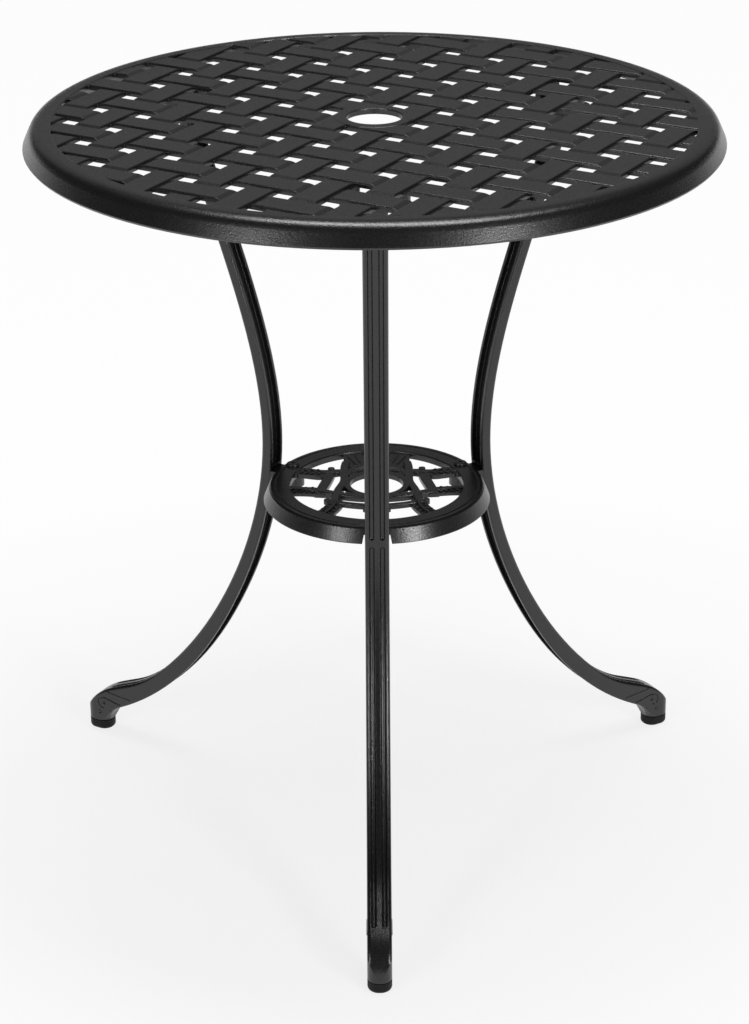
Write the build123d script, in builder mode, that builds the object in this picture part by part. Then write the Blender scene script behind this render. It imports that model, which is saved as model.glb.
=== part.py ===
"""Round cast-aluminium garden table: woven top, three cabriole legs, ring shelf, levelling glides."""
import os
from math import cos, floor, pi, radians, sin

from build123d import *

os.makedirs("parts", exist_ok=True)

# Overall sizes in millimetres, front leg towards -Y, floor at Z = 0
table_height = 682
top_radius = 305.5
foot_end_radius = 335
leg_angles = {"front": -90, "back_right": 30, "back_left": 150}

# Rim of the top
rim_width = 25
rim_crown = 7
rim_shoulder = 7.6
rim_flare = 4.7
rim_drop = 20
rim_wall = 4.5

# Woven field of the top
strip_width = 25.5
strip_pitch = 45.3
strip_thickness = 4.6
strip_recess = 0.4
strip_dip = 1.8
strip_ramp = 6
strip_edge_radius = 1.8
weave_angle = -30

# Umbrella ring
hole_radius = 24.5
hole_ring_width = 10
hole_ring_height = 5.2
hole_edge_radius = 0.9

# Legs
leg_width = 21.5
leg_depth = 10.6
leg_outer_radius = 3
leg_inner_radius = 1.5
leg_top_offset = 7
waist_gap = 3.2
waist_rise = 21
sole_length = 25.5
heel_radius = 10.5
heel_height = 27
heel_flare = 9.5
ankle_height = 50
toe_radius = 10
cuff_width = 1.8
cuff_proud = 0.5
scroll_line = 1.5
scroll_depth = 0.7
eye_radius = 2.4
flute_offset = 4.7
flute_radius = 2.4
flute_depth = 2.1
channel_width = 14
channel_depth = 5

# Bosses under the top and flanges of the legs, bolted together
seat_radius = 196
top_bolt_spread = 20.5
boss_radius = 8.5
boss_height = 9
boss_overlap = 1.5
bolt_engagement = 8
bolt_end_gap = 0.5
flange_width = 58
flange_length = 28
flange_corner_radius = 8
flange_thickness = 6

# Ring shelf
shelf_height = 334
shelf_radius = 99
shelf_flare = 5
shelf_ring_width = 19.3
shelf_plate = 6.4
shelf_drop = 14
shelf_wall = 4
shelf_groove_inset = 5.6
shelf_groove = 0.9
shelf_screw_inset = 9
notch_half_width = 13.6
notch_slant = 1.9
lug_width = 20
lug_thickness = 13
strap_width = 7.4
side_link_width = 9.6
strap_depth = 5.5
strap_proud = 0.6
leaf_depth = 3.2
link_width = 5
bead_radius = 3.2
vein_depth = 0.8
hub_wall = 5.5
hub_depth = 4.6

# Fasteners
m6_radius = 3
m6_clearance = 0.3
m6_across_flats = 10
m6_head_height = 4
m6_nut_height = 5
pan_radius = 6
pan_height = 2.4
cross_length = 5
cross_width = 1.2
cross_depth = 1.6
washer_radius = 6
washer_thickness = 1.6
spring_washer_radius = 5.4
spring_washer_thickness = 1.5

# Levelling glides
pad_height = 11
pad_floor = 1.2
pad_bottom_radius = 4
pad_groove = 0.8
stud_radius = 3.95
stud_fit = 0.05
stud_head_radius = 6
stud_head_height = 2
stud_length = 24
stud_end_gap = 2
insert_radius = 5.5
insert_length = 14

# Heights and radii that follow from the sizes above
lip_radius = top_radius - rim_width
field_top = table_height - strip_recess
field_bottom = field_top - strip_thickness
boss_bottom = field_bottom - boss_height
flange_bottom = boss_bottom - flange_thickness
shelf_under = shelf_height - shelf_plate
lug_bottom = shelf_under - lug_thickness
hole_ring_radius = hole_radius + hole_ring_width
shelf_inner_radius = shelf_radius - shelf_ring_width
shelf_groove_radius = shelf_radius - shelf_groove_inset
shelf_screw_radius = shelf_radius - shelf_screw_inset
waist_radius = shelf_radius + shelf_flare + waist_gap + leg_depth
waist_height = shelf_height + waist_rise
leg_top_radius = seat_radius + leg_top_offset
leg_top = flange_bottom + flange_thickness / 2
foot_radius = foot_end_radius - sole_length / 2
flute_runs = ((leg_top - 12, shelf_height - 1), (shelf_height - 12, ankle_height))
channel_runs = ((leg_top - 12, shelf_height - 2), (lug_bottom - 5, ankle_height - 6))
over_length = 2 * top_radius
leg_spread = [Rot(0, 0, angle) for angle in leg_angles.values()]
bolt_places = []
for place in leg_spread:
    for side in (-top_bolt_spread, top_bolt_spread):
        bolt_places.append(place * Pos(seat_radius, side))


# Strips of the woven field that run one way, dipping under every second crossing strip
strip_count = floor((lip_radius + strip_width / 2) / strip_pitch + 0.5)
strip_numbers = range(-strip_count, strip_count)


def strip_line(number, parity):
    half = strip_width / 2
    points = [(-over_length / 2, field_bottom), (-over_length / 2, field_top)]
    for crossing in strip_numbers:
        middle = (crossing + 0.5) * strip_pitch
        if (number + crossing) % 2 == parity:
            points.append((middle - half - strip_ramp, field_top))
            points.append((middle - half, field_top - strip_dip))
            points.append((middle + half, field_top - strip_dip))
            points.append((middle + half + strip_ramp, field_top))
    points += [(over_length / 2, field_top), (over_length / 2, field_bottom)]
    return points


def woven_strips(along, across, parity):
    with BuildPart() as strips:
        for number in strip_numbers:
            centre = across * (number + 0.5) * strip_pitch
            with BuildSketch(Plane(centre, x_dir=along, z_dir=along.cross(Vector(0, 0, 1)))):
                with BuildLine():
                    Polyline(*strip_line(number, parity), close=True)
                make_face()
            extrude(amount=strip_width / 2, both=True)
        end_plane = Plane((0, 0, field_bottom), x_dir=across, z_dir=across.cross(Vector(0, 0, 1)))
        with BuildSketch(end_plane) as ends:
            middles = [(number + 0.5) * strip_pitch for number in strip_numbers]
            with Locations(*[(middle, strip_thickness / 2) for middle in middles]):
                Rectangle(strip_width, strip_thickness)
            fillet(ends.vertices().group_by(Axis.Y)[-1], strip_edge_radius)
        extrude(amount=over_length, both=True, mode=Mode.INTERSECT)
    return strips.part


u_way = Vector(cos(radians(weave_angle)), sin(radians(weave_angle)), 0)
v_way = Vector(-sin(radians(weave_angle)), cos(radians(weave_angle)), 0)
u_strips = woven_strips(u_way, v_way, 0)
v_strips = woven_strips(v_way, u_way, 1)

# Table top: one casting of rim, woven field, umbrella ring and leg bosses
with BuildPart() as table_top:
    add(u_strips)
    add(v_strips)
    with BuildSketch(Plane.XY.offset(field_bottom)):
        Circle(lip_radius + 3)
        Circle(hole_radius + 2, mode=Mode.SUBTRACT)
    extrude(amount=strip_thickness, mode=Mode.INTERSECT)
    with BuildSketch(Plane.XZ):
        with BuildLine():
            crown = (lip_radius + rim_crown, table_height)
            shoulder = (top_radius - rim_flare, table_height - rim_shoulder)
            Polyline(
                shoulder,
                (top_radius, table_height - rim_drop + 2),
                (top_radius - 1.5, table_height - rim_drop),
                (top_radius - rim_wall, table_height - rim_drop),
                (top_radius - rim_flare - rim_wall, table_height - rim_shoulder - 3),
                (top_radius - rim_flare - rim_wall - 3, field_bottom),
                (lip_radius, field_bottom),
                (lip_radius, table_height - 0.8),
                (lip_radius + 0.8, table_height),
                crown,
            )
            Spline(crown, shoulder, tangents=[(1, 0), (rim_flare, -(rim_drop - rim_shoulder))])
        make_face()
    revolve(axis=Axis.Z)
    with BuildSketch(Plane.XZ) as ring_section:
        with Locations((hole_radius + hole_ring_width / 2, table_height)):
            Rectangle(hole_ring_width, hole_ring_height, align=(Align.CENTER, Align.MAX))
        fillet(ring_section.vertices().group_by(Axis.Y)[-1], hole_edge_radius)
    revolve(axis=Axis.Z)
    with BuildSketch(Plane.XY.offset(boss_bottom)):
        with Locations(*bolt_places):
            Circle(boss_radius)
    extrude(amount=boss_height + boss_overlap)
    with BuildSketch(Plane.XY.offset(boss_bottom)):
        with Locations(*bolt_places):
            Circle(m6_radius + m6_clearance)
    extrude(amount=bolt_engagement, mode=Mode.SUBTRACT)
table_top.part.label = "table_top"
export_step(table_top.part, "parts/table_top.step")

# Leg: one casting with flange, fluted S-curved shank, shelf lug and scroll foot, drawn along +X
def above_waist(out, up):
    radius = waist_radius + out * (leg_top_radius - waist_radius)
    return (radius, waist_height + up * (leg_top - waist_height))


def below_waist(out, down):
    radius = waist_radius + out * (foot_end_radius - waist_radius)
    return (radius, waist_height * (1 - down))


toe = (foot_end_radius, pad_height)
heel = below_waist(0.8095, 0.9127)
sole_back = (foot_end_radius - sole_length, pad_height)
outer_face = Spline(
    above_waist(1, 1),
    above_waist(0.315, 0.4674),
    (waist_radius, waist_height),
    below_waist(0.0746, 0.2648),
    below_waist(0.2371, 0.493),
    below_waist(0.5051, 0.7183),
    below_waist(0.726, 0.8254),
    below_waist(0.885, 0.8676),
    below_waist(0.97, 0.91),
    toe,
)
inner_face = Spline(
    (leg_top_radius - leg_depth, leg_top),
    above_waist(0.1925, 0.4674),
    (waist_radius - leg_depth, waist_height),
    below_waist(0.018, 0.2648),
    below_waist(0.1685, 0.493),
    below_waist(0.4084, 0.7183),
    below_waist(0.581, 0.8225),
    heel,
)


def place_at(curve, height):
    upper, lower = 0, 1
    for halving in range(30):
        middle = (upper + lower) / 2
        if (curve @ middle).Y > height:
            upper = middle
        else:
            lower = middle
    return lower


def beside(curve, top, bottom, distance, steps=18):
    start, end = place_at(curve, top), place_at(curve, bottom)
    points = []
    for step in range(steps + 1):
        place = start + (end - start) * step / steps
        way = curve % place
        points.append(curve @ place + Vector(-way.Y, way.X, 0) * distance)
    return points


with BuildSketch() as toe_outline:
    with Locations((foot_end_radius, 0)):
        Rectangle(2 * leg_width, leg_width, align=(Align.MAX, Align.CENTER))
    fillet(toe_outline.vertices().group_by(Axis.X)[-1], toe_radius)

with BuildPart() as toe_box:
    with Locations((foot_end_radius, 0, pad_height)):
        Box(2 * toe_radius + 4, 2 * leg_width, ankle_height, align=(Align.CENTER, Align.CENTER, Align.MIN))

with BuildPart() as toe_cut:
    with BuildSketch(Plane.XY.offset(pad_height)):
        with Locations((foot_end_radius - toe_radius, 0)):
            Rectangle(2 * toe_radius, 2 * leg_width, align=(Align.MIN, Align.CENTER))
        add(toe_outline.sketch, mode=Mode.SUBTRACT)
    extrude(amount=ankle_height)

heel_middle = sole_back[0] + leg_width / 2
with BuildPart() as heel_cut:
    with BuildSketch(Plane.XY.offset(pad_height)):
        with Locations((heel_middle, 0)):
            Rectangle(leg_width, 2 * leg_width, align=(Align.MAX, Align.CENTER))
    extrude(amount=heel_height - pad_height)
    with Locations((heel_middle, 0, (pad_height + heel_height) / 2)):
        Cone(leg_width / 2, leg_width / 2 + heel_flare, heel_height - pad_height, mode=Mode.SUBTRACT)

with BuildPart() as leg:
    with BuildSketch(Plane.XZ.offset(-leg_width / 2)):
        with BuildLine():
            add(outer_face)
            add(inner_face)
            Line(outer_face @ 0, inner_face @ 0)
            ThreePointArc(heel, below_waist(0.8565, 0.934), sole_back)
            Line(sole_back, toe)
        make_face()
    extrude(amount=leg_width)
    inner_edges = leg.edges().filter_by(lambda edge: edge.length > waist_height).sort_by(SortBy.LENGTH)[:2]
    fillet(inner_edges, leg_inner_radius)
    outer_edges = leg.edges().sort_by(SortBy.LENGTH)[-2:]
    fillet(outer_edges, leg_outer_radius)
    # Two flutes on the outer face, above and below the shelf
    for side in (-flute_offset, flute_offset):
        for top, bottom in flute_runs:
            centres = beside(outer_face, top, bottom, flute_radius - flute_depth)
            with BuildLine() as flute_path:
                Spline(*[(point.X, side, point.Y) for point in centres])
            with BuildSketch(Plane(flute_path.line @ 0, z_dir=flute_path.line % 0)):
                Circle(flute_radius)
            sweep(path=flute_path.line, mode=Mode.SUBTRACT)
            with Locations(flute_path.line @ 0, flute_path.line @ 1):
                Sphere(flute_radius, mode=Mode.SUBTRACT)
    # Hollow channel in the inner face, above and below the shelf lug
    for top, bottom in channel_runs:
        skin = beside(inner_face, top, bottom, -1)
        floor_line = beside(inner_face, top, bottom, channel_depth)
        with BuildSketch(Plane.XZ):
            with BuildLine():
                Spline(*[(point.X, point.Y) for point in skin])
                Spline(*[(point.X, point.Y) for point in floor_line])
                Line((skin[0].X, skin[0].Y), (floor_line[0].X, floor_line[0].Y))
                Line((skin[-1].X, skin[-1].Y), (floor_line[-1].X, floor_line[-1].Y))
            make_face()
        extrude(amount=channel_width / 2, both=True, mode=Mode.SUBTRACT)
    # Flange at the top and lug for the shelf
    with BuildSketch(Plane.XY.offset(flange_bottom)) as flange:
        with Locations((seat_radius, 0)):
            Rectangle(flange_length, flange_width)
        fillet(flange.vertices(), flange_corner_radius)
        with Locations((seat_radius, 0)):
            with GridLocations(0, 2 * top_bolt_spread, 1, 2):
                Circle(m6_radius + m6_clearance, mode=Mode.SUBTRACT)
    extrude(amount=flange_thickness)
    with BuildSketch(Plane.XY.offset(lug_bottom)) as lug:
        lug_end = (inner_face @ place_at(inner_face, lug_bottom)).X + leg_depth / 2
        with Locations(((shelf_screw_radius - lug_width / 2 + lug_end) / 2, 0)):
            Rectangle(lug_end - shelf_screw_radius + lug_width / 2, lug_width)
        fillet(lug.vertices().group_by(Axis.X)[0], lug_width * 0.45)
        with Locations((shelf_screw_radius, 0)):
            Circle(m6_radius + m6_clearance, mode=Mode.SUBTRACT)
    extrude(amount=lug_thickness)
    # Heel and toe rounded in plan, to stand over the glide pad
    add(heel_cut.part, mode=Mode.SUBTRACT)
    round_toe = (leg.part & toe_box.part) - toe_cut.part
    add(toe_box.part, mode=Mode.SUBTRACT)
    add(round_toe)
    # Leaf cuff, scroll and eyes on both sides of the foot
    cuff = [below_waist(0.751, 0.883), below_waist(0.82, 0.879), below_waist(0.88, 0.8746)]
    scroll = [below_waist(0.806, 0.903), below_waist(0.84, 0.9), below_waist(0.872, 0.895)]
    scroll += [below_waist(0.902, 0.893), below_waist(0.926, 0.903), below_waist(0.924, 0.919)]
    scroll.append(below_waist(0.9, 0.924))
    eyes = [below_waist(0.898, 0.909), below_waist(0.924, 0.941), below_waist(0.858, 0.932)]
    for side in (-1, 1):
        with BuildSketch(Plane.XZ.offset(side * (leg_width / 2 - cuff_proud))):
            with BuildLine():
                Spline(*cuff)
            trace(line_width=cuff_width)
        extrude(amount=2 * side * cuff_proud)
        with BuildSketch(Plane.XZ.offset(side * leg_width / 2)):
            with BuildLine():
                Spline(*scroll)
            trace(line_width=scroll_line)
        extrude(amount=-side * scroll_depth, mode=Mode.SUBTRACT)
        eye_side = side * (leg_width + eye_radius) / 2
        with Locations(*[(radius, eye_side, height) for radius, height in eyes]):
            Sphere(eye_radius, mode=Mode.SUBTRACT)
    # Socket for the glide insert, drilled up into the foot
    with BuildSketch(Plane.XY.offset(pad_height)):
        with Locations((foot_radius, 0)):
            Circle(insert_radius)
    extrude(amount=insert_length, mode=Mode.SUBTRACT)
    with BuildSketch(Plane.XY.offset(pad_height)):
        with Locations((foot_radius, 0)):
            Circle(stud_radius + 0.5)
    extrude(amount=stud_length - pad_height + pad_floor + stud_end_gap, mode=Mode.SUBTRACT)

for place_name, angle in leg_angles.items():
    leg_copy = Rot(0, 0, angle) * leg.part
    leg_copy.label = "leg_" + place_name
    export_step(leg_copy, "parts/leg_" + place_name + ".step")

# Ring shelf: flat ring with a flared skirt and an openwork of bowed straps, links and leaves
strap_top = shelf_height + strap_proud
strap_level = Plane.XY.offset(strap_top - strap_depth)
drawn_radius = 79.7
ring_edge = -drawn_radius - 2


def drawn(*points):
    return [Vector(*point) * (shelf_inner_radius / drawn_radius) for point in points]


with BuildPart() as strap:
    bow = drawn((-52, -14.5), (-40, -20), (-22, -26), (0, -28.6), (22, -26), (40, -20), (52, -14.5))
    with BuildSketch(strap_level):
        with BuildLine():
            Spline(*bow)
        trace(line_width=strap_width)
    extrude(amount=strap_depth)
    fillet(strap.faces().sort_by(Axis.Z)[-1].edges(), 1)

with BuildPart() as leaf:
    leg_side = drawn((-44, -11.5), (-52, -5.4), (-66, -2.6), (ring_edge, 0.6))
    gap_side = drawn((ring_edge, -18.3), (-66, -17.6), (-54, -19.6), (-44, -22))
    midrib = drawn((-44, -17), (-60, -10.6), (-drawn_radius, -8.8))
    with BuildSketch(strap_level):
        with BuildLine():
            Spline(*leg_side)
            Line(leg_side[-1], gap_side[0])
            Spline(*gap_side)
            Line(gap_side[-1], leg_side[0])
        make_face()
    extrude(amount=leaf_depth)
    with BuildSketch(strap_level):
        with BuildLine():
            Spline(*midrib)
        trace(line_width=2.6)
    extrude(amount=strap_depth - vein_depth)
    with BuildSketch(strap_level):
        for step in range(4):
            inner, outer = -54 - 6 * step, -59.5 - 6 * step
            with BuildLine():
                Polyline(*drawn((outer, -4.2), (inner, -10.8), (outer, -16.6)))
            trace(line_width=1.6)
    extrude(amount=leaf_depth + vein_depth)

with BuildPart() as link:
    link_ends = drawn((-45, -34.4), (45, -34.4))
    link_bow = drawn((-31, -40.6), (-13, -45.4), (0, -46.8), (13, -45.4), (31, -40.6))
    with BuildSketch(strap_level):
        with BuildLine():
            Spline(link_ends[0], *link_bow, link_ends[1])
        trace(line_width=link_width)
        with Locations(*link_ends):
            Circle(bead_radius)
    extrude(amount=strap_depth - 1)
    fillet(link.faces().sort_by(Axis.Z)[-1].edges(), 0.8)

with BuildPart() as stem:
    with BuildSketch(strap_level):
        with BuildLine():
            Polyline(*drawn((0, -44), (-10, -46), (-12.6, -53.4), (-6.6, -56.8), (-5, -61), (-5, -69)))
            Polyline(*drawn((-5, -69), (-9, ring_edge), (0, ring_edge), (0, -44)))
        make_face()
        mirror(about=Plane.YZ)
    extrude(amount=strap_depth - 2 * vein_depth)
    with BuildSketch(strap_level):
        with BuildLine():
            Line(*drawn((0, -46), (0, -drawn_radius)))
        trace(line_width=2.2)
        for side in (-1, 1):
            with BuildLine():
                Line(*drawn((0, -49), (10 * side, -53)))
            trace(line_width=1.6)
    extrude(amount=strap_depth - vein_depth)

with BuildPart() as side_strap:
    side_bow = drawn((-28.5, 52), (-30, 40), (-30, 19), (-30.3, 7), (-32.3, -2), (-35.3, -13))
    side_bow += drawn((-36.9, -24), (-38.6, -37.8))
    with BuildSketch(strap_level):
        with BuildLine():
            Spline(*side_bow)
        trace(line_width=strap_width)
    extrude(amount=strap_depth)
    fillet(side_strap.faces().sort_by(Axis.Z)[-1].edges(), 1)

with BuildPart() as side_link:
    side_line = drawn((-43.5, 24), (-46, 11), (-50, -7), (-52.3, -21))
    with BuildSketch(strap_level):
        with BuildLine():
            Spline(*side_line)
        trace(line_width=side_link_width)
    extrude(amount=strap_depth - 1)
    fillet(side_link.faces().sort_by(Axis.Z)[-1].edges(), 0.8)

with BuildPart() as side_leaf:
    back_side = drawn((-34, 36.5), (-42, 35.8), (-49.4, 35), (-58.9, 37.8), (-72.5, 40))
    front_side = drawn((-78.5, 25), (-62, 22.3), (-50.6, 20.5), (-42, 24.5), (-34, 28))
    side_rib = drawn((-34, 32), (-50, 28.6), (-75, 32))
    with BuildSketch(strap_level):
        with BuildLine():
            Spline(*back_side)
            Line(back_side[-1], front_side[0])
            Spline(*front_side)
            Line(front_side[-1], back_side[0])
        make_face()
    extrude(amount=leaf_depth + vein_depth)
    with BuildSketch(strap_level):
        with BuildLine():
            Spline(*side_rib)
        trace(line_width=2.6)
        with Locations(*drawn((-42.2, 37.6))):
            Circle(bead_radius)
    extrude(amount=strap_depth - 1)
    with BuildSketch(strap_level):
        for step in range(4):
            inner, outer = -50 - 6 * step, -55 - 6 * step
            with BuildLine():
                Polyline(*drawn((outer, 35.4), (inner, 29.4 + step / 2), (outer, 24.6)))
            trace(line_width=1.6)
    extrude(amount=leaf_depth + 2 * vein_depth)

with BuildPart() as back_bar:
    bar_line = drawn((-40, 29), (-20, 32.5), (0, 33.5), (20, 32.5), (40, 29))
    arch_line = drawn((-27, 22), (-23.5, 35), (-17, 43.5), (0, 48), (17, 43.5), (23.5, 35), (27, 22))
    with BuildSketch(strap_level):
        with BuildLine():
            Spline(*bar_line)
        trace(line_width=link_width)
        with BuildLine():
            Spline(*arch_line)
        trace(line_width=link_width)
    extrude(amount=strap_depth - 1)

with BuildPart() as fan:
    fan_side = drawn((0, 46.5), (-12, 47), (-24, 43.5), (-33.5, 42), (-31.5, 52), (-31, 60), (-31, 76.5))
    fan_side += drawn((-16, 80.4), (0, 81.7))
    with BuildSketch(strap_level):
        with BuildLine():
            Polyline(*fan_side, close=True)
        make_face()
        mirror(about=Plane.YZ)
    extrude(amount=leaf_depth)
    with BuildSketch(strap_level):
        for root, tip in (((-18, 48), (-26.5, 68)), ((-13, 49), (-20, 72)), ((-7, 50), (-12, 75))):
            with BuildLine():
                Line(*drawn(root, tip))
            trace(line_width=2.2)
        mirror(about=Plane.YZ)
        with BuildLine():
            Line(*drawn((0, 50), (0, 76)))
        trace(line_width=2.2)
    extrude(amount=leaf_depth + vein_depth)

with BuildPart() as notch:
    with BuildSketch(Plane.YZ):
        with BuildLine():
            Polyline(
                (-notch_half_width, shelf_height - shelf_drop - 1),
                (notch_half_width, shelf_height - shelf_drop - 1),
                (notch_half_width - notch_slant, shelf_under),
                (-notch_half_width + notch_slant, shelf_under),
                close=True,
            )
        make_face()
    extrude(amount=2 * shelf_radius)

with BuildPart() as lower_shelf:
    with BuildSketch(Plane.XZ):
        with BuildLine():
            Polyline(
                (shelf_inner_radius, shelf_under),
                (shelf_inner_radius, shelf_height - 0.8),
                (shelf_inner_radius + 0.8, shelf_height),
                (shelf_groove_radius - shelf_groove, shelf_height),
                (shelf_groove_radius, shelf_height - shelf_groove),
                (shelf_groove_radius + shelf_groove, shelf_height),
                (shelf_radius - 1.5, shelf_height),
                (shelf_radius, shelf_height - 1.5),
                (shelf_radius + shelf_flare, shelf_height - shelf_drop),
                (shelf_radius + shelf_flare - shelf_wall, shelf_height - shelf_drop),
                (shelf_radius - shelf_wall + 1.5, shelf_under),
                close=True,
            )
        make_face()
    revolve(axis=Axis.Z)
    for piece in (strap.part, link.part, stem.part, back_bar.part, fan.part):
        add(piece)
    front_leaf = Rot(0, 0, -120) * mirror(leaf.part, about=Plane.YZ, mode=Mode.PRIVATE)
    for piece in (leaf.part, front_leaf, side_strap.part, side_link.part, side_leaf.part):
        add(piece)
        add(mirror(piece, about=Plane.YZ, mode=Mode.PRIVATE))
    with BuildSketch(Plane.XY.offset(shelf_height - hub_depth)):
        Circle(hole_radius + hub_wall)
    extrude(amount=hub_depth + strap_proud / 2)
    with BuildSketch(Plane.XY.offset(shelf_under)):
        Circle(hole_radius)
    extrude(amount=2 * shelf_plate, mode=Mode.SUBTRACT)
    with PolarLocations(0, len(leg_angles), start_angle=leg_angles["front"]):
        add(notch.part, mode=Mode.SUBTRACT)
    with BuildSketch(Plane.XY.offset(shelf_under)):
        with Locations(*[place * Pos(shelf_screw_radius, 0) for place in leg_spread]):
            Circle(m6_radius + m6_clearance)
    extrude(amount=2 * shelf_plate, mode=Mode.SUBTRACT)
lower_shelf.part.label = "lower_shelf"
export_step(lower_shelf.part, "parts/lower_shelf.step")

# Bolts, spring washers and washers that hold the legs to the top, seen from below
washer_bottom = flange_bottom - washer_thickness
spring_bottom = washer_bottom - spring_washer_thickness

with BuildPart() as top_washers:
    with BuildSketch(Plane.XY.offset(washer_bottom)):
        with Locations(*bolt_places):
            Circle(washer_radius)
            Circle(m6_radius + m6_clearance, mode=Mode.SUBTRACT)
    extrude(amount=washer_thickness)
top_washers.part.label = "top_washers"
export_step(top_washers.part, "parts/top_washers.step")

with BuildPart() as top_spring_washers:
    with BuildSketch(Plane.XY.offset(spring_bottom)):
        with Locations(*bolt_places):
            Circle(spring_washer_radius)
            Circle(m6_radius + m6_clearance, mode=Mode.SUBTRACT)
            with Locations((spring_washer_radius, 0)):
                Rectangle(spring_washer_radius * 1.6, 1, mode=Mode.SUBTRACT)
    extrude(amount=spring_washer_thickness)
top_spring_washers.part.label = "top_spring_washers"
export_step(top_spring_washers.part, "parts/top_spring_washers.step")

with BuildPart() as top_bolts:
    with BuildSketch(Plane.XY.offset(spring_bottom - m6_head_height)):
        with Locations(*bolt_places):
            RegularPolygon(m6_across_flats / 2, 6, major_radius=False)
    extrude(amount=m6_head_height)
    with BuildSketch(Plane.XY.offset(spring_bottom)):
        with Locations(*bolt_places):
            Circle(m6_radius)
    extrude(amount=boss_bottom - spring_bottom + bolt_engagement - bolt_end_gap)
top_bolts.part.label = "top_bolts"
export_step(top_bolts.part, "parts/top_bolts.step")

# Screws, washers and nuts that clamp the shelf to the leg lugs
screw_places = [place * Pos(shelf_screw_radius, 0) for place in leg_spread]
nut_top = lug_bottom - washer_thickness

with BuildPart() as shelf_screws:
    with BuildSketch(Plane.XY.offset(shelf_height)):
        with Locations(*screw_places):
            Circle(pan_radius)
    extrude(amount=pan_height)
    fillet(shelf_screws.edges().group_by(Axis.Z)[-1], pan_height / 2)
    with BuildSketch(Plane.XY.offset(shelf_height + pan_height)):
        with Locations(*screw_places):
            Rectangle(cross_length, cross_width)
            Rectangle(cross_width, cross_length)
    extrude(amount=-cross_depth, mode=Mode.SUBTRACT)
    with BuildSketch(Plane.XY.offset(shelf_height)):
        with Locations(*screw_places):
            Circle(m6_radius)
    extrude(amount=nut_top - m6_nut_height - 1.5 - shelf_height)
shelf_screws.part.label = "shelf_screws"
export_step(shelf_screws.part, "parts/shelf_screws.step")

with BuildPart() as shelf_washers:
    with BuildSketch(Plane.XY.offset(nut_top)):
        with Locations(*screw_places):
            Circle(washer_radius)
            Circle(m6_radius + m6_clearance, mode=Mode.SUBTRACT)
    extrude(amount=washer_thickness)
shelf_washers.part.label = "shelf_washers"
export_step(shelf_washers.part, "parts/shelf_washers.step")

with BuildPart() as shelf_nuts:
    with BuildSketch(Plane.XY.offset(nut_top - m6_nut_height)):
        with Locations(*screw_places):
            RegularPolygon(m6_across_flats / 2, 6, major_radius=False)
            Circle(m6_radius + 0.05, mode=Mode.SUBTRACT)
    extrude(amount=m6_nut_height)
shelf_nuts.part.label = "shelf_nuts"
export_step(shelf_nuts.part, "parts/shelf_nuts.step")

# Levelling glide: threaded insert in the foot, stud that screws in it, pad that swivels on the stud
with BuildPart() as glide_insert:
    with BuildSketch(Plane.XY.offset(pad_height)):
        with Locations((foot_radius, 0)):
            Circle(insert_radius)
            Circle(stud_radius + stud_fit, mode=Mode.SUBTRACT)
    extrude(amount=insert_length)

stud_foot = pad_floor + 0.3
with BuildPart() as glide_stud:
    with BuildSketch(Plane.XY.offset(stud_foot)):
        with Locations((foot_radius, 0)):
            Circle(stud_head_radius)
    extrude(amount=stud_head_height)
    with BuildSketch(Plane.XY.offset(stud_foot)):
        with Locations((foot_radius, 0)):
            Circle(stud_radius)
    extrude(amount=stud_length)
    chamfer(glide_stud.edges().group_by(Axis.Z)[-1], 0.8)

with BuildPart() as glide_pad:
    with BuildSketch() as sole:
        with Locations((foot_radius, 0)):
            Rectangle(sole_length, leg_width)
        fillet(sole.vertices().group_by(Axis.X)[-1], toe_radius)
        fillet(sole.vertices().group_by(Axis.X)[0], heel_radius)
    extrude(amount=pad_height - pad_groove)
    fillet(glide_pad.edges().group_by(Axis.Z)[0], pad_bottom_radius)
    with BuildSketch(Plane.XY.offset(pad_height - pad_groove)):
        offset(sole.sketch, -pad_groove)
    extrude(amount=pad_groove)
    pocket_height = stud_foot + stud_head_height + 0.3 - pad_floor
    with BuildSketch(Plane.XY.offset(pad_floor)):
        with Locations((foot_radius, 0)):
            Circle(stud_head_radius + stud_fit)
    extrude(amount=pocket_height, mode=Mode.SUBTRACT)
    with BuildSketch(Plane.XY.offset(pad_floor)):
        with Locations((foot_radius, 0)):
            Circle(stud_radius + stud_fit)
    extrude(amount=pad_height, mode=Mode.SUBTRACT)

for place_name, angle in leg_angles.items():
    turned = {"glide_insert_": glide_insert.part, "glide_stud_": glide_stud.part}
    turned["glide_pad_"] = glide_pad.part
    for piece_name, piece in turned.items():
        piece_copy = Rot(0, 0, angle) * piece
        piece_copy.label = piece_name + place_name
        export_step(piece_copy, "parts/" + piece_name + place_name + ".step")
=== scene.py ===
# %% [markdown]
# # A round garden table in cast aluminium
#
# The table is a handful of castings under a satin black powder coat, held together by a few screws and
# standing on three screw-in glides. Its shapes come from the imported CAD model, which is loaded here as a
# fixed frame: every node already sits where it belongs, in metres, with the floor at Z = 0 and the front leg
# towards -Y. This lesson gives the castings their finish, and replaces the plain cylinders of the fasteners
# with real ones.

# %% Load the frame
from math import ceil, cos, degrees, pi, radians, sin, tan

import bmesh
import bpy
from mathutils import Matrix, Vector


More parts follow.
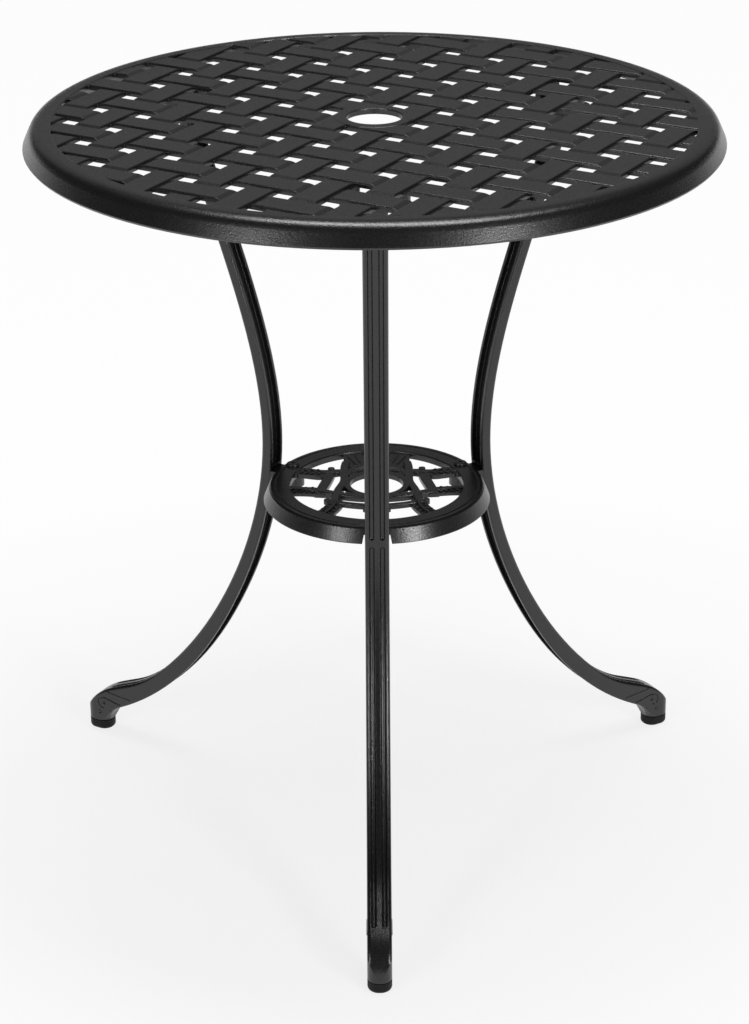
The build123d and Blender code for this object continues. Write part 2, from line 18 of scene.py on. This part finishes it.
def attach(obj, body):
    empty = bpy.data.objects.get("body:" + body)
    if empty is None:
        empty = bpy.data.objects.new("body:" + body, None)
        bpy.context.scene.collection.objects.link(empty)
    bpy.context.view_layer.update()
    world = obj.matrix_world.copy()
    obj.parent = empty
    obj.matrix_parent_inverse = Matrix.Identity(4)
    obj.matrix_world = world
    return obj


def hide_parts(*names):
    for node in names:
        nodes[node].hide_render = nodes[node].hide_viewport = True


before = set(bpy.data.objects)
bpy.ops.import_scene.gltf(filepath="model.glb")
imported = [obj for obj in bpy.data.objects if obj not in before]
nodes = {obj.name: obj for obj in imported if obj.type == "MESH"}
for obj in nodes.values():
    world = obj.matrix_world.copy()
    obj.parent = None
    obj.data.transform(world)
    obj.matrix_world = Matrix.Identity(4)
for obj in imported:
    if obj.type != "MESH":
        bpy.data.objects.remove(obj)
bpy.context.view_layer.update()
mm = 0.001
legs = ["front", "back_right", "back_left"]

# %% [markdown]
# ## Camera
#
# A camera can be placed by eye until the picture looks right, but a round table gives away the exact place:
# the ellipses of its rim, its hole and its shelf each fix how far the lens looks down. The camera below
# stands 2.4 m in front, looks down by 24 degrees and has a lens of about 100 mm, which is what keeps the far
# edge almost as wide as the near one.

# %% Camera
image_height = 1024
focal_length_px = 2878
camera_pitch = radians(23.877)
camera_yaw = radians(0.052)
camera_roll = radians(0.378)
camera_place = Vector((0, -2.4279, 1.3802))

level_right = Vector((cos(camera_yaw), sin(camera_yaw), 0))
level_ahead = Vector((-sin(camera_yaw), cos(camera_yaw), 0))
straight_up = Vector((0, 0, 1))
aim = level_ahead * cos(camera_pitch) - straight_up * sin(camera_pitch)
image_up = level_ahead * sin(camera_pitch) + straight_up * cos(camera_pitch)
camera_x = level_right * cos(camera_roll) - image_up * sin(camera_roll)
camera_y = level_right * sin(camera_roll) + image_up * cos(camera_roll)
camera_turn = Matrix((camera_x, camera_y, -aim)).transposed().to_4x4()

lens = bpy.data.cameras.new("camera")
lens.sensor_fit = "VERTICAL"
lens.sensor_height = 36
lens.lens = focal_length_px * lens.sensor_height / image_height
camera = bpy.data.objects.new("camera", lens)
camera.matrix_world = Matrix.Translation(camera_place) @ camera_turn
scene = bpy.context.scene
scene.collection.objects.link(camera)
scene.camera = camera
scene.view_settings.view_transform = "Standard"
print("lens", round(lens.lens, 1), "mm, looking down", round(degrees(camera_pitch), 1), "degrees")

# %% [markdown]
# ## Two small helpers
#
# Colours are easiest to read as the hex values of a colour picker, but a shader works with linear light, so
# one function turns one into the other. A second one adds a shader node: it sets the node's own properties,
# and for each input takes either a value or the output of another node, which it links.

# %% Colour and node helpers
def linear(hex_colour):
    shares = [int(hex_colour[place:place + 2], 16) / 255 for place in (1, 3, 5)]
    return [s / 12.92 if s <= 0.04045 else ((s + 0.055) / 1.055) ** 2.4 for s in shares] + [1]


def add_node(tree, kind, inputs=None, **settings):
    node = tree.nodes.new(kind)
    for name, value in settings.items():
        setattr(node, name, value)
    for name, value in (inputs or {}).items():
        if isinstance(value, bpy.types.NodeSocket):
            tree.links.new(value, node.inputs[name])
        else:
            node.inputs[name].default_value = value
    return node


print("mid grey #808080 is", round(linear("#808080")[0], 3), "in linear light")

# %% [markdown]
# ## White floor
#
# Such tables are photographed on a white floor that runs on without an edge, in soft light from large boxes.
# More light would wash out a black coat, so the white comes from the floor itself: to the camera, and to
# anything that mirrors it, part of it is plain white, and the rest is lit like any floor and so keeps the
# table's shadow. That white glow is weaker near the table and grows away from it, which paints the floor
# darker close to the table, where its shadow falls, and whiter further out, where the lamps light it less.

# %% Floor
def seen_or_mirrored(tree):
    path = add_node(tree, "ShaderNodeLightPath").outputs
    seen = add_node(tree, "ShaderNodeMath", {0: path["Is Camera Ray"], 1: path["Is Glossy Ray"]},
                    operation="MAXIMUM")
    seen = add_node(tree, "ShaderNodeMath", {0: seen.outputs[0], 1: path["Is Transmission Ray"]},
                    operation="MAXIMUM")
    return seen.outputs[0]


def white_floor_paint():
    near, far = 0.35, 0.8
    white_near, white_far = 0.8, 0.97
    material = bpy.data.materials.new("white_floor_paint")
    material.use_nodes = True
    tree = material.node_tree
    tree.nodes.clear()
    place = add_node(tree, "ShaderNodeNewGeometry").outputs["Position"]
    distance = add_node(tree, "ShaderNodeVectorMath", {0: place}, operation="LENGTH").outputs["Value"]
    # Painted shade: less white glow near the table, so the floor comes out darker there and whiter further
    # out.
    white = add_node(tree, "ShaderNodeMapRange", {"Value": distance, "From Min": near, "From Max": far,
                                                  "To Min": white_near, "To Max": white_far})
    share = add_node(tree, "ShaderNodeMath", {0: seen_or_mirrored(tree), 1: white.outputs["Result"]},
                     operation="MULTIPLY")
    paint = add_node(tree, "ShaderNodeBsdfDiffuse", {"Color": linear("#f4f4f4")})
    glow = add_node(tree, "ShaderNodeEmission", {"Color": linear("#ffffff"), "Strength": 1})
    both = add_node(tree, "ShaderNodeMixShader", {0: share.outputs[0], 1: paint.outputs[0],
                                                  2: glow.outputs[0]})
    add_node(tree, "ShaderNodeOutputMaterial", {"Surface": both.outputs[0]})
    return material


floor_half = 20
floor_corners = [(x * floor_half, y * floor_half, 0) for x, y in ((-1, -1), (1, -1), (1, 1), (-1, 1))]
floor_mesh = bpy.data.meshes.new("floor")
floor_mesh.from_pydata(floor_corners, [], [(0, 1, 2, 3)])
floor_mesh.materials.append(white_floor_paint())
studio_floor = bpy.data.objects.new("floor", floor_mesh)
scene.collection.objects.link(studio_floor)
print("floor", 2 * floor_half, "m wide")

# %% [markdown]
# ## Pale backdrop
#
# Above the horizon the world does what the floor does: it gives little light, but to the camera and to
# mirrors it looks white at eye level and fades upwards, like a wall that is lit from below. A picture of a
# studio could be wrapped around the scene instead, but a gradient needs no file. In a mix node for numbers,
# sockets 2 and 3 take the two values.

# %% World
ambient_strength = 0.05
fade_angle = radians(5)
world = bpy.data.worlds.new("studio")
world.use_nodes = True
sky = world.node_tree
direction = add_node(sky, "ShaderNodeTexCoord").outputs["Generated"]
rise = add_node(sky, "ShaderNodeSeparateXYZ", {"Vector": direction}).outputs["Z"]
backdrop = add_node(sky, "ShaderNodeMapRange", {"Value": rise, "From Min": 0, "From Max": sin(fade_angle),
                                                "To Min": 1, "To Max": ambient_strength})
strength = add_node(sky, "ShaderNodeMix", {"Factor": seen_or_mirrored(sky), 2: ambient_strength,
                                           3: backdrop.outputs["Result"]})
background = sky.nodes["Background"]
background.inputs["Color"].default_value = linear("#ffffff")
sky.links.new(strength.outputs[0], background.inputs["Strength"])
scene.world = world
print("ambient light", ambient_strength, "and a backdrop of", round(degrees(fade_angle)), "degrees")

# %% [markdown]
# ## Soft boxes
#
# The bright band along the front of the rim is the mirror image of a large box above the table, and the two
# paler patches on the skirt come from a pair of boxes left and right of the camera. A wide, dim one far
# behind gives the flat strips their sheen. Each box is an area light that faces the table and that no camera
# sees. The powers are low enough for a pale card on the table to come out about as pale as it is.

# %% Lights
table_middle = Vector((0, 0, 0.5))


def soft_box(name, place, size, power):
    light = bpy.data.lights.new(name, "AREA")
    light.shape = "RECTANGLE"
    light.size, light.size_y = size
    light.energy = power
    box = bpy.data.objects.new(name, light)
    box.location = place
    box.visible_camera = False
    box.rotation_euler = (table_middle - Vector(place)).to_track_quat("-Z", "Y").to_euler()
    scene.collection.objects.link(box)
    return box


boxes = [
    soft_box("box_overhead", (0.1, 0.2, 2.8), (1.7, 0.8), 47),
    soft_box("box_left", (-1.6, -2.1, 1.25), (0.5, 0.8), 21),
    soft_box("box_right", (1.6, -2.1, 1.25), (0.5, 0.8), 34),
    soft_box("box_back", (0, 3, 2), (4, 1.5), 4),
]
print("soft boxes:", [box.name for box in boxes])

# %% [markdown]
# ## Satin black powder coat over cast aluminium
#
# The castings come out of sand moulds with a slightly pebbled skin, are blasted, and then sprayed with dry
# powder that melts to an even film in an oven. The film is a polyester with an IOR near 1.57, and its fine
# orange peel breaks a reflection into grains. A real grain is about 0.4 mm wide, less than a pixel, so it is
# drawn here at 1.3 mm to show. Slower waves of a few centimetres are the sand casting under the film. On
# edges the film draws thin, and the colour there is also lightened as a painted highlight along each edge;
# the bevel node finds the edges by comparing a rounded normal with the true one.
#
# Most of a noise texture's values lie between 0.3 and 0.7, so that range is spread over each finish's
# roughness. In a mix node for colours, sockets 6 and 7 take the two colours.

# %% Powder coat
noise_range = {"From Min": 0.3, "From Max": 0.7}


def start_finish(name):
    material = bpy.data.materials.new(name)
    material.use_nodes = True
    tree = material.node_tree
    return material, tree, tree.nodes["Principled BSDF"]


def satin_powder_coat():
    grain_width, cast_wave, edge_width = 1.3 * mm, 28 * mm, 1.1 * mm
    peel_height, wave_height = 0.25 * mm, 1 * mm
    still_flat, on_edge = 0.995, 0.9
    material, tree, shader = start_finish("satin_powder_coat")
    place = add_node(tree, "ShaderNodeTexCoord").outputs["Object"]
    grain = add_node(tree, "ShaderNodeTexNoise", {"Vector": place, "Scale": 1 / grain_width, "Detail": 2})
    waves = add_node(tree, "ShaderNodeTexNoise", {"Vector": place, "Scale": 1 / cast_wave, "Detail": 2})
    rounded = add_node(tree, "ShaderNodeBevel", {"Radius": edge_width}, samples=4)
    true_normal = add_node(tree, "ShaderNodeNewGeometry").outputs["Normal"]
    likeness = add_node(tree, "ShaderNodeVectorMath", {0: rounded.outputs[0], 1: true_normal},
                        operation="DOT_PRODUCT")
    edges = add_node(tree, "ShaderNodeMapRange", {"Value": likeness.outputs["Value"],
                                                  "From Min": still_flat, "From Max": on_edge}, clamp=True)
    film = add_node(tree, "ShaderNodeValToRGB", {"Fac": waves.outputs["Fac"]})
    film.color_ramp.elements[0].color = linear("#0d0d0d")
    film.color_ramp.elements[1].color = linear("#121211")
    # Edges get a lighter colour: partly the thinner film, partly a painted highlight along each edge.
    thin_film_and_painted_highlight = add_node(tree, "ShaderNodeMix", {"Factor": edges.outputs["Result"], 6: film.outputs["Color"],
                                            7: linear("#1c1c1b")}, data_type="RGBA")
    shine = add_node(tree, "ShaderNodeMapRange", {"Value": grain.outputs["Fac"], **noise_range,
                                                  "To Min": 0.26, "To Max": 0.34})
    broad = add_node(tree, "ShaderNodeBump", {"Height": waves.outputs["Fac"], "Strength": 0.12,
                                              "Distance": wave_height, "Normal": rounded.outputs[0]})
    fine = add_node(tree, "ShaderNodeBump", {"Height": grain.outputs["Fac"], "Strength": 0.5,
                                             "Distance": peel_height, "Normal": broad.outputs[0]})
    shader.inputs["IOR"].default_value = 1.57
    tree.links.new(thin_film_and_painted_highlight.outputs[2], shader.inputs["Base Color"])
    tree.links.new(shine.outputs["Result"], shader.inputs["Roughness"])
    tree.links.new(fine.outputs[0], shader.inputs["Normal"])
    return material


def dress(node, finish):
    nodes[node].data.materials.clear()
    nodes[node].data.materials.append(finish)


powder_coat = satin_powder_coat()
castings = ["table_top", "lower_shelf"] + ["leg_" + leg for leg in legs]
for casting in castings:
    dress(casting, powder_coat)
print("coated:", castings)

# %% [markdown]
# ## Zinc-plated steel
#
# The bolts, washers, nuts and studs are plain steel with a few thousandths of a millimetre of electroplated
# zinc. Plating leaves a cool grey metal that is neither mirror nor matt, with faint cloudy patches a few
# millimetres wide where the bath ran unevenly.

# %% Zinc plate
def zinc_plated_steel():
    patch_width = 3 * mm
    material, tree, shader = start_finish("zinc_plated_steel")
    place = add_node(tree, "ShaderNodeTexCoord").outputs["Object"]
    clouds = add_node(tree, "ShaderNodeTexNoise", {"Vector": place, "Scale": 1 / patch_width, "Detail": 3})
    tint = add_node(tree, "ShaderNodeValToRGB", {"Fac": clouds.outputs["Fac"]})
    tint.color_ramp.elements[0].color = linear("#8f9398")
    tint.color_ramp.elements[1].color = linear("#b9bcbf")
    dull = add_node(tree, "ShaderNodeMapRange", {"Value": clouds.outputs["Fac"], **noise_range,
                                                 "To Min": 0.26, "To Max": 0.4})
    shader.inputs["Metallic"].default_value = 1
    tree.links.new(tint.outputs["Color"], shader.inputs["Base Color"])
    tree.links.new(dull.outputs["Result"], shader.inputs["Roughness"])
    return material


zinc_plate = zinc_plated_steel()
print("made", zinc_plate.name)

# %% [markdown]
# ## Black-oxide steel
#
# The shelf screws are blackened in a hot salt bath, which turns the skin of the steel to magnetite, and are
# then oiled. That makes them dark, with a soft shine that changes where the oil lies thicker. The skin no
# longer looks like metal, so the shader's metallic value stays at 0.

# %% Black oxide
def black_oxide_steel():
    oil_patch = 2.5 * mm
    material, tree, shader = start_finish("black_oxide_steel")
    place = add_node(tree, "ShaderNodeTexCoord").outputs["Object"]
    oil = add_node(tree, "ShaderNodeTexNoise", {"Vector": place, "Scale": 1 / oil_patch, "Detail": 2})
    skin = add_node(tree, "ShaderNodeValToRGB", {"Fac": oil.outputs["Fac"]})
    skin.color_ramp.elements[0].color = linear("#141415")
    skin.color_ramp.elements[1].color = linear("#202021")
    shine = add_node(tree, "ShaderNodeMapRange", {"Value": oil.outputs["Fac"], **noise_range,
                                                  "To Min": 0.3, "To Max": 0.42})
    tree.links.new(skin.outputs["Color"], shader.inputs["Base Color"])
    tree.links.new(shine.outputs["Result"], shader.inputs["Roughness"])
    return material


dress("shelf_screws", black_oxide_steel())
print("blackened: shelf_screws")

# %% [markdown]
# ## Turned brass
#
# The threaded inserts in the feet are turned from brass bar, and the tool leaves fine rings around them. At a
# third of a millimetre apart the rings are too small to model, so a bump draws them. A wave texture of
# scale 1 has a ring every pi / 10 metres, so its scale follows from the tool's feed.

# %% Brass
def turned_brass():
    tool_feed, groove_depth = 0.35 * mm, 0.05 * mm
    wave_scale = pi / (10 * tool_feed)
    material, tree, shader = start_finish("turned_brass")
    place = add_node(tree, "ShaderNodeTexCoord").outputs["Object"]
    rings = add_node(tree, "ShaderNodeTexWave", {"Vector": place, "Scale": wave_scale}, bands_direction="Z")
    tint = add_node(tree, "ShaderNodeValToRGB", {"Fac": rings.outputs["Fac"]})
    tint.color_ramp.elements[0].color = linear("#b08d4c")
    tint.color_ramp.elements[1].color = linear("#c9a765")
    cut = add_node(tree, "ShaderNodeBump", {"Height": rings.outputs["Fac"], "Strength": 0.2,
                                            "Distance": groove_depth})
    shader.inputs["Metallic"].default_value = 1
    shader.inputs["Roughness"].default_value = 0.28
    tree.links.new(tint.outputs["Color"], shader.inputs["Base Color"])
    tree.links.new(cut.outputs[0], shader.inputs["Normal"])
    return material


brass = turned_brass()
for leg in legs:
    dress("glide_insert_" + leg, brass)
print("inserts in", brass.name)

# %% [markdown]
# ## Moulded nylon
#
# The glide pads are moulded in black nylon against a spark-eroded mould, so they are matt with a fine grain,
# about 0.5 mm wide and drawn here at 1.2 mm to show. Wider, fainter patches are where they were scuffed.

# %% Nylon
def moulded_nylon():
    spark_grain, grain_height, scuff_width = 1.2 * mm, 0.2 * mm, 9 * mm
    material, tree, shader = start_finish("moulded_nylon")
    place = add_node(tree, "ShaderNodeTexCoord").outputs["Object"]
    grain = add_node(tree, "ShaderNodeTexNoise", {"Vector": place, "Scale": 1 / spark_grain, "Detail": 2})
    scuffs = add_node(tree, "ShaderNodeTexNoise", {"Vector": place, "Scale": 1 / scuff_width, "Detail": 4})
    tint = add_node(tree, "ShaderNodeValToRGB", {"Fac": scuffs.outputs["Fac"]})
    tint.color_ramp.elements[0].color = linear("#100e0e")
    tint.color_ramp.elements[1].color = linear("#181413")
    rough = add_node(tree, "ShaderNodeMapRange", {"Value": scuffs.outputs["Fac"], **noise_range,
                                                  "To Min": 0.45, "To Max": 0.6})
    texture = add_node(tree, "ShaderNodeBump", {"Height": grain.outputs["Fac"], "Strength": 0.2,
                                                "Distance": grain_height})
    shader.inputs["Specular IOR Level"].default_value = 0.2
    tree.links.new(tint.outputs["Color"], shader.inputs["Base Color"])
    tree.links.new(rough.outputs["Result"], shader.inputs["Roughness"])
    tree.links.new(texture.outputs[0], shader.inputs["Normal"])
    return material


nylon = moulded_nylon()
for leg in legs:
    dress("glide_pad_" + leg, nylon)
print("pads in", nylon.name)

# %% [markdown]
# ## Turned and threaded pieces
#
# Bolts, nuts, washers and studs are all shapes around an axis, so one function draws them: it takes rows from
# the bottom to the top, and each row says how far from the axis and how high its points lie at each angle. A
# round row gives the same answer at every angle, a hexagon changes its radius, and a thread changes it with
# height and angle together, which is all that a helix is. A screw modifier could make the thread too, but not
# its run-out at the tip.

# %% Rows around an axis
weld_distance = 0.001 * mm
sharp_edge = radians(32)


def fit_fastener(mesh, body, node):
    mesh.materials.append(zinc_plate)
    mesh.shade_smooth()
    mesh.set_sharp_from_angle(angle=sharp_edge)
    piece = bpy.data.objects.new(mesh.name, mesh)
    scene.collection.objects.link(piece)
    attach(piece, body)
    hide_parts(node)
    print(piece.name, "has", len(mesh.polygons), "faces")


def around_axis(name, rows, places, body, node, sides=36):
    corners, faces = [], []
    for x, y, heading in places:
        first = len(corners)
        for row in rows:
            for side in range(sides):
                angle = 2 * pi * side / sides
                radius, height = row(angle)
                angle += heading
                corners.append(Vector((x + radius * cos(angle), y + radius * sin(angle), height)) * mm)
        for low in range(first, first + (len(rows) - 1) * sides, sides):
            for side in range(sides):
                a, b = low + side, low + (side + 1) % sides
                faces.append((a, b, b + sides, a + sides))
    mesh = bpy.data.meshes.new(name)
    mesh.from_pydata(corners, [], faces)
    draft = bmesh.new()
    draft.from_mesh(mesh)
    bmesh.ops.remove_doubles(draft, verts=draft.verts, dist=weld_distance)
    bmesh.ops.dissolve_degenerate(draft, edges=draft.edges, dist=weld_distance)
    draft.to_mesh(mesh)
    draft.free()
    fit_fastener(mesh, body, node)


def ring(radius, height):
    return lambda angle: (radius, height)


print("points of one mesh closer than", weld_distance / mm, "mm are joined")

# %% [markdown]
# Heads and nuts are stamped hexagons whose corners were turned off at 30 degrees, which leaves the curved
# edge that one knows from every bolt. A thread's flanks rise and fall at a steady slope over one turn, and
# are cut off flat at the crest and at the root.

# %% Hexagons and threads
chamfer_share = 0.96
chamfer_angle = radians(30)
flank_top, flank_slope = 1.35, 3.2


def hexagon(angle, across_flats):
    return across_flats / 2 / cos(angle % (pi / 3) - pi / 6)


def hex_row(across_flats, height, chamfer_way):
    def row(angle):
        radius = hexagon(angle, across_flats)
        past_circle = radius - chamfer_share * across_flats / 2
        return radius, height + chamfer_way * past_circle * tan(chamfer_angle)

    return row


def thread_rows(major, minor, pitch, low, high, steps=8):
    def thread_row(height):
        def row(angle):
            turn = (height / pitch - angle / (2 * pi)) % 1
            crest = min(1, max(0, flank_top - flank_slope * abs(turn - 0.5)))
            return minor + (major - minor) * crest, height

        return row

    count = ceil((high - low) / pitch * steps)
    return [thread_row(low + (high - low) * step / count) for step in range(count + 1)]


print("corner of a 10 mm hexagon:", round(hexagon(0, 10), 2), "mm")

# %% [markdown]
# ## Bolts under the top
#
# Two M6 bolts hold each leg's flange to its bosses, each with a flat washer and a split spring washer under
# the head. The places and heights, in millimetres, are those of the CAD model.

# %% Bolts
leg_headings = dict(zip(legs, (radians(-90), radians(30), radians(150))))
bolt_circle, bolt_spread = 196, 20.5
bolt_places = []
for heading in leg_headings.values():
    for side in (-bolt_spread, bolt_spread):
        bolt_places.append((bolt_circle * cos(heading) - side * sin(heading),
                            bolt_circle * sin(heading) + side * cos(heading), heading))

washer_top, washer_bottom, spring_bottom, head_bottom, bolt_tip = 662, 660.4, 658.9, 654.9, 675.5
hex_width = 10
chamfer_circle = chamfer_share * hex_width / 2
bolt_radius, bolt_root, bolt_end, bolt_pitch = 2.95, 2.4, 2.3, 1
bolt_neck, bolt_chamfer = 0.4, 0.6
bolt_rows = [ring(0, head_bottom), ring(chamfer_circle, head_bottom), hex_row(hex_width, head_bottom, 1)]
bolt_rows += [hex_row(hex_width, spring_bottom, 0), ring(bolt_radius, spring_bottom)]
bolt_rows += thread_rows(bolt_radius, bolt_root, bolt_pitch, spring_bottom + bolt_neck,
                         bolt_tip - bolt_chamfer)
bolt_rows += [ring(bolt_end, bolt_tip), ring(0, bolt_tip)]
around_axis("top_bolt_set", bolt_rows, bolt_places, "table", "top_bolts")

# %% [markdown]
# A flat washer is stamped from sheet, and its edges are tumbled until they no longer cut. A bevel modifier
# would break the edges too, but here it only takes a few more rows.

# %% Flat washers
washer_bore, washer_radius = 3.3, 6


def washer_rows(low, high, edge=0.25):
    bore_edge, outer_edge = washer_bore + edge, washer_radius - edge
    return [ring(washer_bore, high - edge), ring(washer_bore, low + edge), ring(bore_edge, low),
            ring(outer_edge, low), ring(washer_radius, low + edge), ring(washer_radius, high - edge),
            ring(outer_edge, high), ring(bore_edge, high), ring(washer_bore, high - edge)]


around_axis("top_washer_set", washer_rows(washer_bottom, washer_top), bolt_places, "table", "top_washers")

# %% [markdown]
# A spring washer is one turn of square wire, cut on a slant. Its cross-section is carried round nearly a full
# turn, the lower corners a few degrees ahead of the upper ones, and the two ends are closed.

# %% Spring washers
def split_washers(name, places, radius, low, high, body, node, edge=0.15, steps=40):
    gap, slant = radians(9), radians(5)
    section = [(washer_bore, low, slant), (radius - edge, low, slant), (radius, low + edge, slant),
               (radius, high - edge, 0), (radius - edge, high, 0), (washer_bore, high, 0)]
    count = len(section)
    corners, faces = [], []
    for x, y, heading in places:
        first = len(corners)
        last = first + steps * count
        for step in range(steps + 1):
            turn = gap + (2 * pi - 2 * gap) * step / steps
            for reach, height, lead in section:
                angle = heading + turn + lead
                corners.append(Vector((x + reach * cos(angle), y + reach * sin(angle), height)) * mm)
        for start in range(first, last, count):
            for side in range(count):
                a, b = start + side, start + (side + 1) % count
                faces.append((a, a + count, b + count, b))
        faces.append(tuple(range(first, first + count)))
        faces.append(tuple(reversed(range(last, last + count))))
    mesh = bpy.data.meshes.new(name)
    mesh.from_pydata(corners, [], faces)
    fit_fastener(mesh, body, node)


spring_radius = 5.4
split_washers("top_spring_washer_set", bolt_places, spring_radius, spring_bottom, washer_bottom, "table",
              "top_spring_washers")

# %% [markdown]
# ## Nuts and washers under the shelf lugs
#
# A screw goes down through each lug and is held from below by a washer and a nut. Both mouths of a nut are
# countersunk a little, so that the screw finds its way in. The screw fills the bore, so the bore stays plain:
# a thread in it would never show.

# %% Nuts and washers
screw_circle = 90
lug_bottom, nut_top, nut_bottom = 314.6, 313, 308
nut_bore, nut_mouth, mouth_depth = 3.05, 3.4, 0.4
screw_places = [(screw_circle * cos(heading), screw_circle * sin(heading), heading)
                for heading in leg_headings.values()]
nut_rows = [ring(nut_bore, nut_top - mouth_depth), ring(nut_bore, nut_bottom + mouth_depth)]
nut_rows += [ring(nut_mouth, nut_bottom), ring(chamfer_circle, nut_bottom)]
nut_rows += [hex_row(hex_width, nut_bottom, 1), hex_row(hex_width, nut_top, -1)]
nut_rows += [ring(chamfer_circle, nut_top), ring(nut_mouth, nut_top), ring(nut_bore, nut_top - mouth_depth)]
around_axis("shelf_nut_set", nut_rows, screw_places, "table", "shelf_nuts")
around_axis("shelf_washer_set", washer_rows(nut_top, lug_bottom), screw_places, "table", "shelf_washers")

# %% [markdown]
# ## Glide studs
#
# Each glide turns on an M8 stud whose thread shows when the glide is screwed out. A stud is a piece of its
# own for each foot, because each one turns on its own body.

# %% Studs
foot_circle = 322.25
stud_bottom, stud_head, stud_tip = 1.5, 3.5, 25.5
head_radius, head_edge = 6, 0.3
stud_radius, stud_root, stud_end, stud_pitch = 3.92, 3.25, 3.1, 1.25
neck_radius, neck_height, stud_chamfer = 3.9, 0.3, 0.9
stud_rows = [ring(0, stud_bottom), ring(head_radius - head_edge, stud_bottom)]
stud_rows += [ring(head_radius, stud_bottom + head_edge), ring(head_radius, stud_head - head_edge)]
stud_rows += [ring(head_radius - head_edge, stud_head), ring(neck_radius, stud_head)]
stud_rows += thread_rows(stud_radius, stud_root, stud_pitch, stud_head + neck_height,
                         stud_tip - stud_chamfer)
stud_rows += [ring(stud_end, stud_tip), ring(0, stud_tip)]
for leg, heading in leg_headings.items():
    stud_place = (foot_circle * cos(heading), foot_circle * sin(heading), heading)
    around_axis("stud_thread_" + leg, stud_rows, [stud_place], "stud_" + leg, "glide_stud_" + leg)
